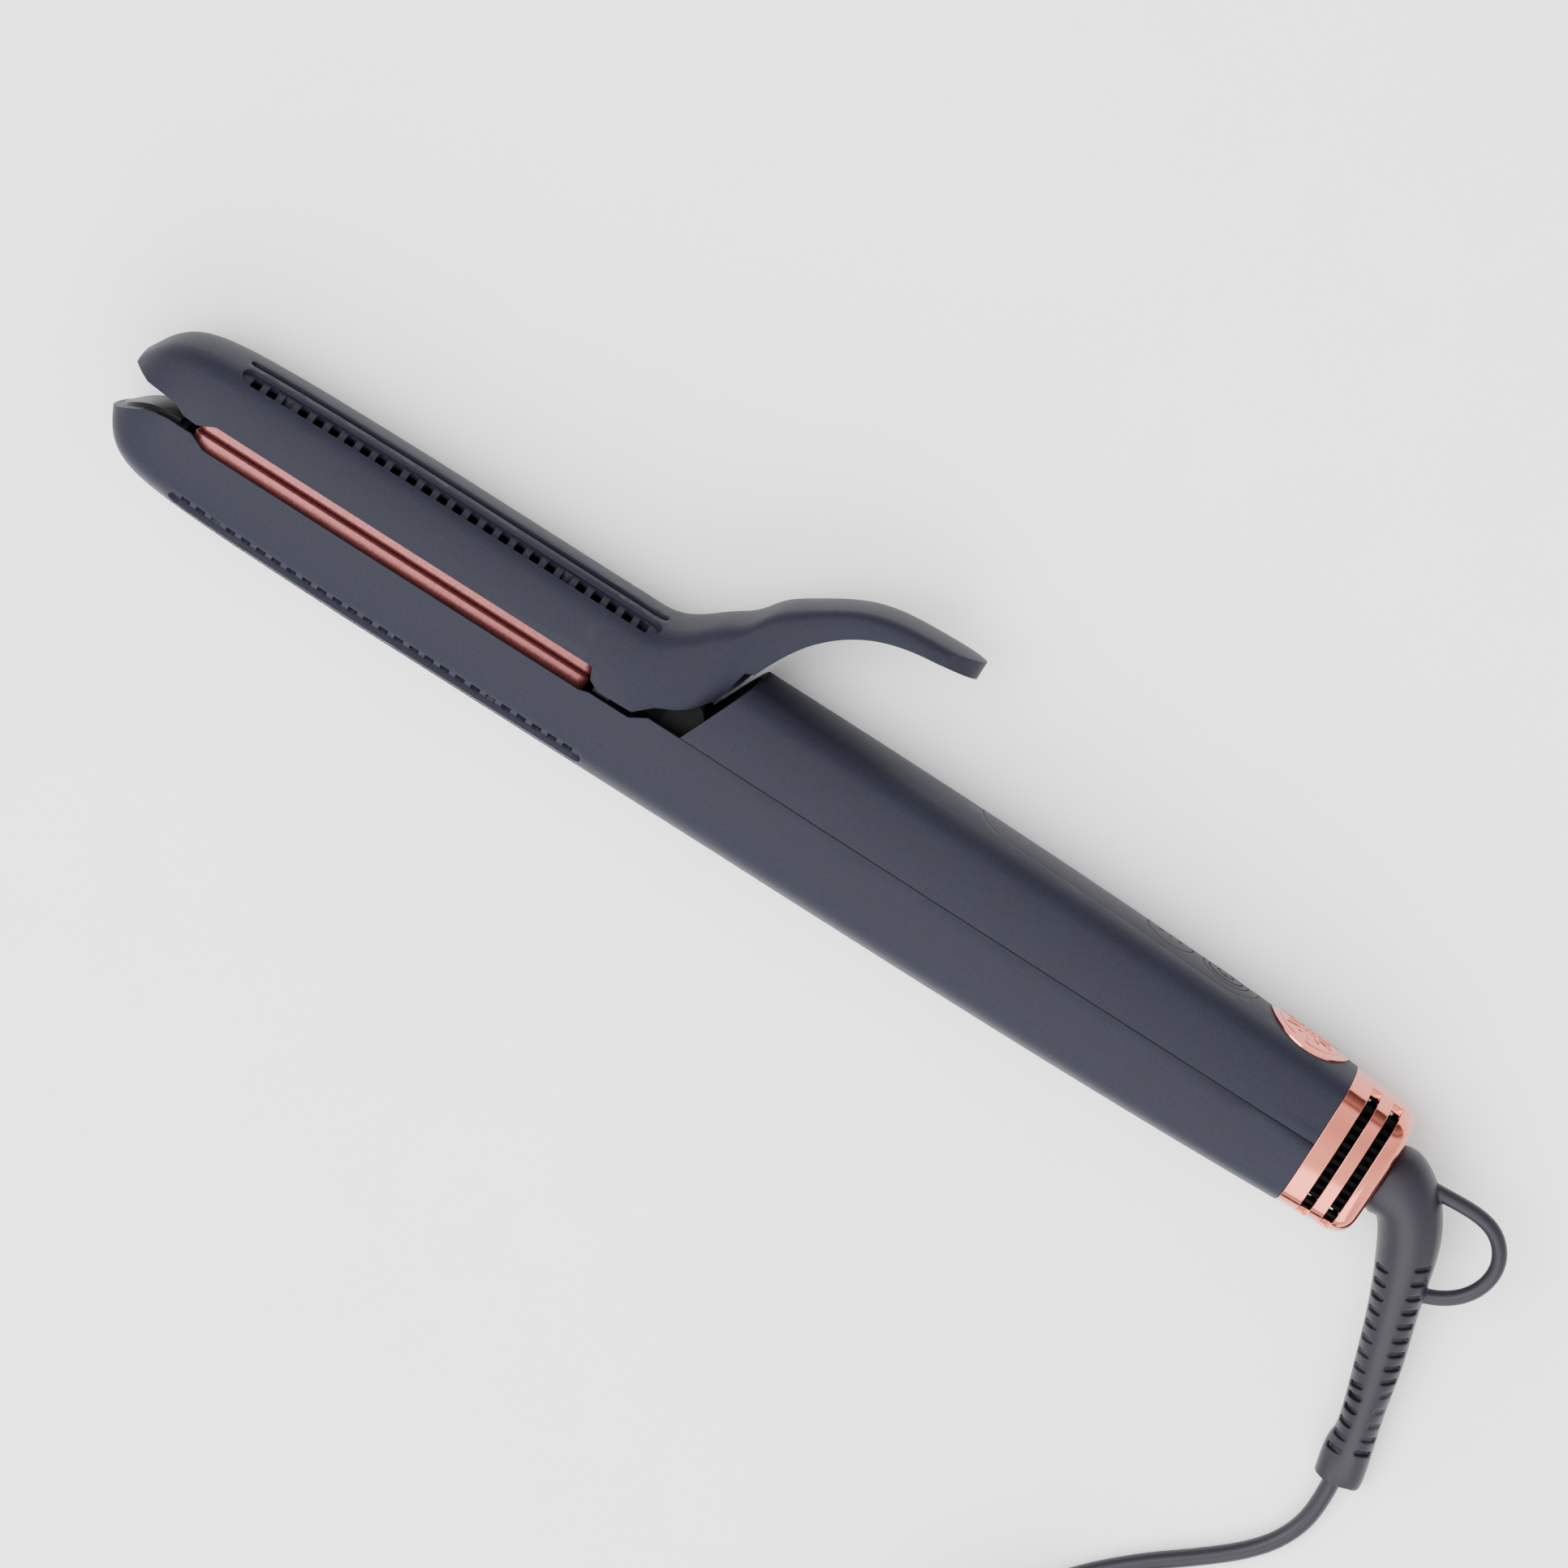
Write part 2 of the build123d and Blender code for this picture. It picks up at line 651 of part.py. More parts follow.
with BuildPart() as fan_rotor:
    add(rod(fan_y, (fan_x, fan_x + 7), 4.6))
    add(rod(fan_y, (motor_x[0] + 9, fan_x + 6), shaft_radius))
    for blade in range(7):
        hub = Plane(origin=(start_x + fan_x + 3.5, axis_y + fan_y, axis_z), z_dir=(1, 0, 0))
        spoke = hub * Rot(0, 0, 360 / 7 * blade) * Rot(35, 0, 0)
        with BuildSketch(Plane(spoke * Pos(4, 0, 0) * Rot(0, 90, 0))):
            Rectangle(5.4, 1.1)
        extrude(amount=8.4)
    add(rod(fan_y, (motor_x[0], fan_x + 8), fan_radius), mode=Mode.INTERSECT)

# ---- end cap, intake grille and swivel ----
slot_width = 2.6
slot_stations = (cap_front + 6.4, cap_front + 12.3)
slot_bridge = 6.0
rear_wall = 2.0
with BuildPart() as cap_room:
    add(body_hull(-cap_wall))
    add(block((cap_front - 1, cap_rear - rear_wall), (-far, far), (-far, far)), mode=Mode.INTERSECT)

with BuildPart() as end_cap:
    add(body_outside)
    add(block((cap_front + gap / 2, cap_rear + 1), (-far, far), (-far, far)), mode=Mode.INTERSECT)
    fillet(end_cap.faces().sort_by(Axis.X)[-1].edges(), 4.0)
    add(cap_room.part, mode=Mode.SUBTRACT)
    for x in slot_stations:
        for z in ((-far, -slot_bridge), (slot_bridge, far)):
            add(block((x - slot_width / 2, x + slot_width / 2), (-far, far), z), mode=Mode.SUBTRACT)
    add(rod(fan_y, (cap_rear - 5, cap_rear + 1), swivel_radius + 0.3), mode=Mode.SUBTRACT)

with BuildPart() as intake_grille:
    add(body_hull(-cap_wall - 0.05))
    add(block((cap_front + 1.5, cap_rear - rear_wall - 1.5), (-far, far), (-far, far)), mode=Mode.INTERSECT)
    add(body_hull(-cap_wall - 1.2), mode=Mode.SUBTRACT)
    for x in slot_stations:
        for step in range(-6, 7):
            y = (fan_y + step * 2.3 - 0.65, fan_y + step * 2.3 + 0.65)
            add(block((x - slot_width / 2, x + slot_width / 2), y, (-far, far)), mode=Mode.SUBTRACT)

bearing_x = (cap_rear - 13, cap_rear - rear_wall)
with BuildPart() as swivel_bearing:
    add(rod(fan_y, bearing_x, bearing_radius))
    add(rod(fan_y, (bearing_x[0] - 1, bearing_x[1] + 1), swivel_radius + swivel_fit), mode=Mode.SUBTRACT)

relief_start = cap_rear + 0.4
with BuildPart() as swivel_spigot:
    add(rod(fan_y, (bearing_x[0] - 2.5, relief_start + 5), swivel_radius))
    add(rod(fan_y, (bearing_x[0] - 2.5, bearing_x[0] - 0.3), swivel_radius + 2.4))
    add(rod(fan_y, (bearing_x[0] - 3, relief_start + 6), cord_diameter / 2 + 0.6), mode=Mode.SUBTRACT)

# ---- strain relief: an elbow and a tapered, slotted sleeve with a hanging loop ----
tilt = math.radians(relief_tilt)
relief_plane = Plane(
    origin=(start_x + relief_start, axis_y + fan_y, axis_z),
    x_dir=(1, 0, 0),
    z_dir=(0, -math.sin(tilt), math.cos(tilt)),
)
# share of the sleeve's length, radius there
relief_taper = [(0.0, 8.2), (0.1, 8.0), (0.2, 7.5), (0.3, 6.9), (0.42, 6.1), (0.65, 5.5), (0.85, 5.15), (1.0, 4.95)]
with BuildPart() as relief_route:
    with BuildLine(relief_plane):
        relief_line = Spline(
            (0, 0), (13.0, -9.6), (18.2, -23.3), (24.4, -42.6), (30.0, -70),
            tangents=(relief_plane.x_dir, relief_plane.x_dir * 0.12 - relief_plane.y_dir),
        )
        loop_line = Spline((11.5, 3.6), (20, 4.1), (28.5, 2.6), (33.4, -3.5), (32.3, -12.5), (26.5, -18.3), (19, -20.5))


def sleeve(grow):
    """The strain relief's tapered sleeve, grown outwards by grow."""
    rings = []
    for along, radius in relief_taper:
        with BuildSketch(Plane(relief_line @ along, z_dir=relief_line % along)) as ring:
            Circle(radius + grow)
        rings.append(ring.sketch.face())
    with BuildPart() as solid:
        loft(rings)
    return solid.part


slot_rows = 4
slots_in_row = 14
slot_size = (4.6, 1.5)
slot_depth = 1.2
slots_start = 0.28        # share of the sleeve's length where the first slot sits
slot_step = 0.046         # from slot to slot, as a share of that length
loop_radius = 1.85


def sleeve_radius(along):
    """The sleeve's radius at a share of its length."""
    for (near, start), (end, finish) in zip(relief_taper, relief_taper[1:]):
        if along <= end:
            return start + (finish - start) * (along - near) / (end - near)


def slot_plane(row, place):
    """The plane of a slot's floor, in one of the rows round the sleeve; odd rows stand half a step on."""
    along = slots_start + slot_step * (place + row % 2 / 2)
    heading = relief_line % along
    turned = math.radians(360 / slot_rows * (row + 0.5))
    outward = relief_plane.z_dir * math.sin(turned) + relief_plane.z_dir.cross(heading) * math.cos(turned)
    floor = relief_line @ along + outward * (sleeve_radius(along) - slot_depth)
    return Plane(floor, x_dir=heading, z_dir=outward)


with BuildPart() as strain_relief:
    add(sleeve(0))
    with BuildSketch(Plane(loop_line @ 0, z_dir=loop_line % 0)):
        Circle(loop_radius)
    sweep(path=loop_line)
    add(rod(fan_y, (relief_start - 1, relief_start + 5), swivel_radius), mode=Mode.SUBTRACT)
    for row in range(slot_rows):
        for place in range(slots_in_row):
            with BuildSketch(slot_plane(row, place)):
                SlotOverall(slot_size[0], slot_size[1], rotation=90)
    extrude(amount=3, mode=Mode.SUBTRACT)

# ---- cord, coil, tie and plug ----
cord_radius = cord_diameter / 2
lead_points = [
    (182.55, -58.66, 4.83), (183.6, -67.1, 3.15), (181.6, -76.0, 2.3), (176.5, -83.6, 2.2), (167.6, -91.6, 2.2),
    (155.5, -101.0, 2.2), (143.9, -112.5, 2.2), (134.2, -126.5, 2.3), (128.2, -141.1, 2.6), (126.0, -153.7, 3.2),
]
tail_points = [
    (126.0, -153.7, 16.7), (126.3, -167.2, 15.5), (128.7, -181.7, 12.6), (134.2, -194.9, 9.8),
    (143.7, -204.7, 7.9), (155.9, -208.5, 6.85), (167.9, -208.5, 6.85),
]
coil_middle = (159.4, -153.7)
coil_inside = 15.0
coil_outside = 35.8
coil_height = (1.0, 18.9)
tie_width = 9.0
tie_thickness = 1.0
plug_start = (167.9, -208.5, 6.85)
plug_neck = 12.0
plug_size = (36.0, 35.3, 13.7)
contact_radius = 2.0
contact_length = 19.0
contact_spacing = 19.0


def cord_radii(points):
    """Fillet radii at the inner points: the largest arcs that the runs beside them have room for."""
    radii = []
    for before, here, after in zip(points, points[1:], points[2:]):
        run_in = Vector(here) - Vector(before)
        run_out = Vector(after) - Vector(here)
        half_turn = math.radians(run_in.get_angle(run_out)) / 2
        radii.append(0.45 * min(run_in.length, run_out.length) / math.tan(half_turn))
    return radii


def cord(points):
    """The cord along points: straight runs joined by tangent arcs."""
    radii = cord_radii(points)
    with BuildPart() as solid:
        with BuildLine() as route:
            FilletPolyline(*points, radius=radii)
        with BuildSketch(Plane(route.wire() @ 0, z_dir=route.wire() % 0)):
            Circle(cord_radius)
        sweep()
    expected = route.wire().length * math.pi * cord_radius**2
    print("cord radii", [round(r, 1) for r in radii], "volume", round(solid.part.volume, 1), round(expected, 1))
    return solid.part


cord_tube = cord(lead_points)
cord_tail = cord(tail_points)

with BuildPart() as cord_coil:
    with BuildSketch(Plane((*coil_middle, coil_height[0]))):
        Circle(coil_outside)
        Circle(coil_inside, mode=Mode.SUBTRACT)
    extrude(amount=coil_height[1] - coil_height[0])

with BuildPart() as coil_tie:
    with BuildSketch(Plane.XY):
        with Locations((coil_middle[0] + (coil_inside + coil_outside) / 2, coil_middle[1])):
            Rectangle(coil_outside - coil_inside + 2.4 * tie_thickness, tie_width)
    extrude(amount=coil_height[1] + tie_thickness)
    add(cord_coil.part, mode=Mode.SUBTRACT)

plug_x = plug_start[0] + plug_neck
with BuildPart() as plug_body:
    for x, radius in ((plug_start[0], 3.4), (plug_x + 1, 5.6)):
        with BuildSketch(Plane((x, *plug_start[1:]), z_dir=(1, 0, 0))):
            Circle(radius)
    loft()
    with BuildSketch(Plane((plug_x, *plug_start[1:]), x_dir=(0, 1, 0), z_dir=(1, 0, 0))):
        RectangleRounded(plug_size[1], plug_size[2], plug_size[2] / 2 - 0.4)
    extrude(amount=plug_size[0])
    fillet(plug_body.faces().sort_by(Axis.X)[-1].edges(), 1.0)

with BuildPart() as plug_pins:
    with BuildSketch(Plane((plug_x + plug_size[0], *plug_start[1:]), x_dir=(0, 1, 0), z_dir=(1, 0, 0))):
        with GridLocations(contact_spacing, 1, 2, 1):
            Circle(contact_radius)
    extrude(amount=contact_length)
    fillet(plug_pins.faces().group_by(Axis.X)[-1].edges(), 0.9)


# ---- the upper jaw's inner parts are the lower ones' mirror images ----
def mirrored(piece):
    """The mirror image of a piece of the lower jaw, in the upper jaw."""
    with BuildPart() as image:
        add(piece)
        mirror(about=Plane((0, axis_y, 0), z_dir=(0, 1, 0)), mode=Mode.REPLACE)
    return image.part


# ---- every piece, by its name ----
pieces = {
    "lower_shell": lower_shell.part,
    "handle_shell": handle_shell.part,
    "arm_shell": arm_shell.part,
    "lower_plate": jaw_plate.part,
    "lower_heater": jaw_heater,
    "lower_plate_frame": jaw_frame.part,
    "lower_pads": jaw_pads.part,
    "lower_tip_insert": lower_tip_insert.part,
    "upper_plate": mirrored(jaw_plate.part),
    "upper_heater": mirrored(jaw_heater),
    "upper_plate_frame": mirrored(jaw_frame.part),
    "upper_pads": mirrored(jaw_pads.part),
    "upper_tip_insert": upper_tip_insert.part,
    "hinge_bracket": hinge_bracket.part,
    "hinge_pin": hinge_pin,
    "hinge_knuckle": hinge_knuckle.part,
    "hinge_spring": hinge_spring.part,
    "hinge_cover": hinge_cover.part,
    "rear_bumper": bumper,
    "bracket_screws": bracket_screws,
    "arm_screws": arm_screws,
    "board_screws": board_screws,
    "control_panel": control_panel.part,
    "power_button": power_button,
    "temperature_rocker": temperature_rocker,
    "speed_button": speed_button,
    "airflow_button": airflow_button,
    "emblem_disc": emblem_disc.part,
    "main_board": main_board.part,
    "board_components": board_components.part,
    "control_board": control_board.part,
    "tact_switches": tact_switches.part,
    "fan_motor": fan_motor.part,
    "fan_duct": fan_duct.part,
    "fan_rotor": fan_rotor.part,
    "end_cap": end_cap.part,
    "intake_grille": intake_grille.part,
    "swivel_bearing": swivel_bearing.part,
    "swivel_spigot": swivel_spigot.part,
    "strain_relief": strain_relief.part,
    "cord_tube": cord_tube,
    "cord_coil": cord_coil.part,
    "cord_tail": cord_tail,
    "coil_tie": coil_tie.part,
    "plug_body": plug_body.part,
    "plug_pins": plug_pins.part,
}
for name, piece in pieces.items():
    piece.label = name
    export_step(piece, f"parts/{name}.step")
    print(name, round(piece.volume, 1), piece.is_valid, len(piece.solids()))
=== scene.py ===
"""Looks of the airflow styling iron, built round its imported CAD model."""

import json
import logging
import math
from dataclasses import dataclass, field
from enum import Enum

import bmesh
import bpy
from mathutils import Matrix, Vector
from mathutils.bvhtree import BVHTree

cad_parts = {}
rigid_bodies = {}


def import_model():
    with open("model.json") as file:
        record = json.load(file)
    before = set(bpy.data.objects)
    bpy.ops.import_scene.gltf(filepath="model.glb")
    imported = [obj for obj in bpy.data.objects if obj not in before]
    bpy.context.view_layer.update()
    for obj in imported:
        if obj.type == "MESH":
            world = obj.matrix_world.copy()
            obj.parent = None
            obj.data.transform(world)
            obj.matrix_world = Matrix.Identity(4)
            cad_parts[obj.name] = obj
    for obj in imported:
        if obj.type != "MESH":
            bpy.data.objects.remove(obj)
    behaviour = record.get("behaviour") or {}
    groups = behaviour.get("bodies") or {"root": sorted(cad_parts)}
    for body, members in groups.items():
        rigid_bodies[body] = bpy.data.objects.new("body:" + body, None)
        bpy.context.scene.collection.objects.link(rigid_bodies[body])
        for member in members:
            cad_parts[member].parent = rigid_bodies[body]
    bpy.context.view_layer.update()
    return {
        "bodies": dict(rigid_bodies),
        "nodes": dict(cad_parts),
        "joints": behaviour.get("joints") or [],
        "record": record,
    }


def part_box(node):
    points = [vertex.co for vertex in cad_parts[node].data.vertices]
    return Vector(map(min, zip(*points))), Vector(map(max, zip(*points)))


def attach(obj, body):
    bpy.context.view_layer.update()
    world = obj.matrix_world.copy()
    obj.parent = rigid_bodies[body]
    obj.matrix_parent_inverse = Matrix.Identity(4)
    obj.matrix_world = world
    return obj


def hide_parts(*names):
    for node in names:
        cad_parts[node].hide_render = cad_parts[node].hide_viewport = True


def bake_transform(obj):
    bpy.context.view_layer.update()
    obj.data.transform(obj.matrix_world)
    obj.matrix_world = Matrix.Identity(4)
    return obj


log = logging.getLogger("styling_iron")
MM = 0.001
Colour = tuple[float, float, float]


class Pattern(Enum):
    """How a finish varies over its surface."""

    GRAIN = "fine even grain"
    BRUSHED = "fine lines along the iron"
    LEATHER = "leathery moulded skin"
    BOARD = "printed tracks"


class Sheet:
    """Adds and joins shader nodes in one node tree."""

    def __init__(self, tree: bpy.types.NodeTree) -> None:
        """Keeps the tree that the nodes go in.

        Args:
            tree: a material's or a group's node tree.
        """
        self.tree = tree

    def add(self, kind: str, settings: dict | None = None, inputs: dict | None = None) -> bpy.types.Node:
        """Adds one node.

        Args:
            kind: the node's type name.
            settings: values of the node's own properties.
            inputs: values of its sockets, or output sockets to join to them.

        Returns:
            The new node.
        """
        node = self.tree.nodes.new(kind)
        for key, value in (settings or {}).items():
            setattr(node, key, value)
        for key, value in (inputs or {}).items():
            if isinstance(value, bpy.types.NodeSocket):
                self.tree.links.new(value, node.inputs[key])
            else:
                node.inputs[key].default_value = value
        return node

    def math(self, operation: str, first: object, second: object) -> bpy.types.NodeSocket:
        """Adds a Math node and returns its result's socket.

        Args:
            operation: the node's operation.
            first: a number or a socket.
            second: a number or a socket.

        Returns:
            The result.
        """
        return self.add("ShaderNodeMath", {"operation": operation}, {0: first, 1: second}).outputs[0]

    def span(self, value: object, low: object, high: object) -> bpy.types.NodeSocket:
        """Maps a value from 0..1 to low..high.

        Args:
            value: the value's socket.
            low: the result at 0.
            high: the result at 1.

        Returns:
            The mapped value.
        """
        limits = {"Value": value, "To Min": low, "To Max": high}
        return self.add("ShaderNodeMapRange", None, limits).outputs[0]


class SkinGroup:
    """A node group that turns a place into a colour, a roughness and a height, built once per pattern."""

    SOCKETS = (
        ("Vector", "INPUT", "NodeSocketVector"),
        ("Colour", "INPUT", "NodeSocketColor"),
        ("Tone", "INPUT", "NodeSocketFloat"),
        ("Scale", "INPUT", "NodeSocketFloat"),
        ("Roughness", "INPUT", "NodeSocketFloat"),
        ("Spread", "INPUT", "NodeSocketFloat"),
        ("Colour", "OUTPUT", "NodeSocketColor"),
        ("Roughness", "OUTPUT", "NodeSocketFloat"),
        ("Height", "OUTPUT", "NodeSocketFloat"),
    )

    def __init__(self) -> None:
        """Starts with no group built."""
        self.built: dict[Pattern, bpy.types.NodeTree] = {}

    def get(self, pattern: Pattern) -> bpy.types.NodeTree:
        """Returns the group of a pattern, making it the first time.

        Args:
            pattern: the pattern wanted.

        Returns:
            Its node group.
        """
        if pattern not in self.built:
            self.built[pattern] = self.make(pattern)
        return self.built[pattern]

    def make(self, pattern: Pattern) -> bpy.types.NodeTree:
        """Builds one pattern's group.

        Args:
            pattern: the pattern to build.

        Returns:
            The new node group.
        """
        tree = bpy.data.node_groups.new(f"skin_{pattern.name.lower()}", "ShaderNodeTree")
        for name, way, kind in self.SOCKETS:
            tree.interface.new_socket(name=name, in_out=way, socket_type=kind)
        sheet = Sheet(tree)
        given = sheet.add("NodeGroupInput").outputs
        place, scale = given["Vector"], given["Scale"]
        if pattern is Pattern.BRUSHED:
            stretch = {"Vector": place, "Scale": (0.02, 1.0, 1.0)}
            place = sheet.add("ShaderNodeMapping", None, stretch).outputs[0]
        fine_values = {"Vector": place, "Scale": scale, "Detail": 3.0}
        fine = sheet.add("ShaderNodeTexNoise", None, fine_values).outputs["Fac"]
        broad_scale = sheet.math("MULTIPLY", scale, 0.03)
        broad_values = {"Vector": given["Vector"], "Scale": broad_scale}
        broad = sheet.add("ShaderNodeTexNoise", None, broad_values).outputs["Fac"]
        height = fine
        speck = fine
        if pattern is Pattern.GRAIN:
            cell_settings = {"feature": "F1"}
            cells = sheet.add("ShaderNodeTexVoronoi", cell_settings, {"Vector": place, "Scale": scale})
            speck = sheet.add("ShaderNodeSeparateColor", None, {"Color": cells.outputs["Color"]}).outputs[0]
            height = sheet.math("MULTIPLY", sheet.math("ADD", fine, speck), 0.5)
        elif pattern is Pattern.LEATHER:
            cell_settings = {"feature": "SMOOTH_F1"}
            cells = sheet.add("ShaderNodeTexVoronoi", cell_settings, {"Vector": place, "Scale": scale})
            height = sheet.math("ADD", cells.outputs["Distance"], sheet.math("MULTIPLY", fine, 0.4))
        elif pattern is Pattern.BOARD:
            tracks = sheet.add("ShaderNodeTexBrick", None, {"Vector": place, "Scale": scale})
            speck = tracks.outputs["Fac"]
            height = speck
        mixed = sheet.math("ADD", sheet.math("MULTIPLY", speck, 0.6), sheet.math("MULTIPLY", broad, 0.4))
        low = sheet.math("SUBTRACT", 1.0, given["Tone"])
        high = sheet.math("ADD", 1.0, given["Tone"])
        gain = sheet.span(mixed, low, high)
        tint = sheet.add("ShaderNodeVectorMath", {"operation": "SCALE"}, {0: given["Colour"], "Scale": gain})
        rough_low = sheet.math("SUBTRACT", given["Roughness"], given["Spread"])
        rough_high = sheet.math("ADD", given["Roughness"], given["Spread"])
        rough = sheet.span(sheet.math("MULTIPLY", sheet.math("ADD", fine, broad), 0.5), rough_low, rough_high)
        sheet.add("NodeGroupOutput", None, {"Colour": tint.outputs[0], "Roughness": rough, "Height": height})
        return tree


SKINS = SkinGroup()


@dataclass(frozen=True)
class Finish:
    """One procedural finish.

    Attributes:
        name: its name, which its material is named after.
        colour: its linear colour.
        pattern: how it varies.
        metallic: share of metal.
        roughness: middle roughness.
        spread: how far the roughness varies.
        tone: how far the colour varies, as a share.
        scale: the pattern's scale, per metre.
        bump: the bump's strength.
        depth: the bump's height in metres.
        specular: specular level.
    """

    name: str
    colour: Colour
    pattern: Pattern = Pattern.GRAIN
    metallic: float = 0.0
    roughness: float = 0.5
    spread: float = 0.05
    tone: float = 0.08
    scale: float = 2500.0
    bump: float = 0.15
    depth: float = 0.00004
    specular: float = 0.5

    def make(self) -> bpy.types.Material:
        """Builds the finish's material.

        Returns:
            The new material.
        """
        material = bpy.data.materials.new(f"finish_{self.name}")
        material.use_nodes = True
        material.node_tree.nodes.clear()
        sheet = Sheet(material.node_tree)
        place = sheet.add("ShaderNodeTexCoord").outputs["Object"]
        values = {
            "Vector": place,
            "Colour": (*self.colour, 1.0),
            "Tone": self.tone,
            "Scale": self.scale,
            "Roughness": self.roughness,
            "Spread": self.spread,
        }
        skin = sheet.add("ShaderNodeGroup", {"node_tree": SKINS.get(self.pattern)}, values).outputs
        bump_values = {"Height": skin["Height"], "Strength": self.bump, "Distance": self.depth}
        bump = sheet.add("ShaderNodeBump", None, bump_values)
        shader_values = {
            "Base Color": skin["Colour"],
            "Roughness": skin["Roughness"],
            "Normal": bump.outputs[0],
            "Metallic": self.metallic,
            "Specular IOR Level": self.specular,
        }
        shader = sheet.add("ShaderNodeBsdfPrincipled", None, shader_values)
        sheet.add("ShaderNodeOutputMaterial", None, {"Surface": shader.outputs[0]})
        return material


@dataclass(frozen=True)
class Palette:
    """Every finish of the iron, by what it is on."""

    shell: Finish = Finish(
        "shell_paint", (0.0115, 0.012, 0.0212), roughness=0.55, tone=0.16, scale=3200.0,
        bump=0.22, specular=0.16,
    )
    plain_shell: Finish = Finish(
        "shell_plastic", (0.0114, 0.0117, 0.0205), roughness=0.55, tone=0.1, specular=0.16
    )
    panel: Finish = Finish("panel_gloss", (0.0145, 0.0138, 0.0215), roughness=0.5, tone=0.08, specular=0.12)
    rose: Finish = Finish(
        "rose_metal", (0.6, 0.17, 0.12), metallic=1.0, roughness=0.13, spread=0.03, tone=0.03, bump=0.05
    )
    plate: Finish = Finish(
        "plate_coat", (0.15, 0.04, 0.039), metallic=0.6, roughness=0.3, tone=0.22, scale=1500.0, bump=0.3
    )
    gloss_black: Finish = Finish(
        "black_plastic", (0.002, 0.002, 0.0025), roughness=0.4, bump=0.05, specular=0.12
    )
    inner: Finish = Finish("inner_plastic", (0.0018, 0.0018, 0.0022), roughness=0.7, tone=0.15, specular=0.05)
    silicone: Finish = Finish("silicone", (0.003, 0.0027, 0.0027), roughness=0.6, tone=0.1, specular=0.1)
    # painted shade: the steel is coloured near-black so that the hinge parts in the gap read as the shadow
    # that falls there
    steel: Finish = Finish("steel", (0.006, 0.006, 0.0065), metallic=0.7, roughness=0.5, specular=0.1)
    ceramic: Finish = Finish("ceramic", (0.62, 0.60, 0.55), roughness=0.6, scale=900.0)
    board: Finish = Finish("board", (0.015, 0.09, 0.04), Pattern.BOARD, roughness=0.4, tone=0.25, scale=250.0)
    component: Finish = Finish("component", (0.03, 0.03, 0.035), roughness=0.4, scale=1800.0)
    brass: Finish = Finish("brass", (0.72, 0.52, 0.22), Pattern.BRUSHED, metallic=1.0, roughness=0.22)
    rubber: Finish = Finish(
        "cord_rubber", (0.0135, 0.0118, 0.0182), Pattern.LEATHER, roughness=0.42, tone=0.1, scale=2200.0,
        bump=0.35, depth=0.00005, specular=0.25,
    )


@dataclass(frozen=True)
class Rounding:
    """How a copy's edges are rounded.

    Attributes:
        width: the rounding's width in metres.
        limit: edges sharper than this are rounded, in degrees.
        segments: strips across each rounding.
    """

    width: float
    limit: float
    segments: int


class Workshop:
    """Makes one material for each finish and puts it on CAD nodes and new pieces."""

    SMOOTH_BELOW = 38.0      # degrees: sharper edges of new pieces stay sharp
    JOIN_WITHIN = 0.002 * MM

    def __init__(self, frame: dict) -> None:
        """Keeps the loaded frame.
        """
        self.frame = frame
        self.made: dict[str, bpy.types.Material] = {}

    def material(self, finish: Finish) -> bpy.types.Material:
        """Returns a finish's material, making it the first time.

        Args:
            finish: the finish wanted.

        Returns:
            Its material.
        """
        if finish.name not in self.made:
            self.made[finish.name] = finish.make()
        return self.made[finish.name]

    def dress(self, finish: Finish, *nodes: str) -> None:
        """Gives CAD nodes a finish, on their objects' own slots.

        Args:
            finish: the finish.
            nodes: the nodes' names.
        """
        for node in nodes:
            for slot in self.frame["nodes"][node].material_slots:
                slot.link = "OBJECT"
                slot.material = self.material(finish)
            log.info("dressed %s in %s", node, finish.name)

    def piece(self, name: str, mesh: bmesh.types.BMesh, finish: Finish, body: str) -> bpy.types.Object:
        """Turns a bmesh into a piece that rides on a body.

        Args:
            name: the piece's name.
            mesh: its geometry, which is freed.
            finish: its finish.
            body: the body it rides on.

        Returns:
            The new object.
        """
        data = bpy.data.meshes.new(name)
        mesh.to_mesh(data)
        mesh.free()
        for polygon in data.polygons:
            polygon.use_smooth = True
        data.set_sharp_from_angle(angle=math.radians(self.SMOOTH_BELOW))
        data.materials.append(self.material(finish))
        piece = bpy.data.objects.new(name, data)
        bpy.context.scene.collection.objects.link(piece)
        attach(piece, body)
        log.info("made %s, %d faces", name, len(data.polygons))
        return piece

    def merged(self, node: str) -> bmesh.types.BMesh:
        """Copies a CAD node's mesh with its loose triangles joined.

        Args:
            node: the node's name.

        Returns:
            The joined copy.
        """
        mesh = bmesh.new()
        mesh.from_mesh(self.frame["nodes"][node].data)
        for layer in list(mesh.loops.layers.float_vector):
            mesh.loops.layers.float_vector.remove(layer)
        bmesh.ops.remove_doubles(mesh, verts=mesh.verts, dist=self.JOIN_WITHIN)
        return mesh

    def rounded(self, node: str, finish: Finish, body: str, rounding: Rounding) -> None:
        """Makes a copy of a CAD node with rounded edges, which stands for it.

        Args:
            node: the node's name.
            finish: its finish.
            body: the body it rides on.
            rounding: how its edges are rounded.
        """
        piece = self.piece(f"soft_{node}", self.merged(node), finish, body)
        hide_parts(node)
        bevel = piece.modifiers.new("edge_round", "BEVEL")
        bevel.width = rounding.width
        bevel.segments = rounding.segments
        bevel.limit_method = "ANGLE"
        bevel.angle_limit = math.radians(rounding.limit)
        bevel.harden_normals = True

    def surface(self, node: str) -> BVHTree:
        """Returns a CAD node's surface, to lay pieces on.

        Args:
            node: the node's name.

        Returns:
            Its search tree.
        """
        mesh = self.merged(node)
        tree = BVHTree.FromBMesh(mesh)
        mesh.free()
        return tree


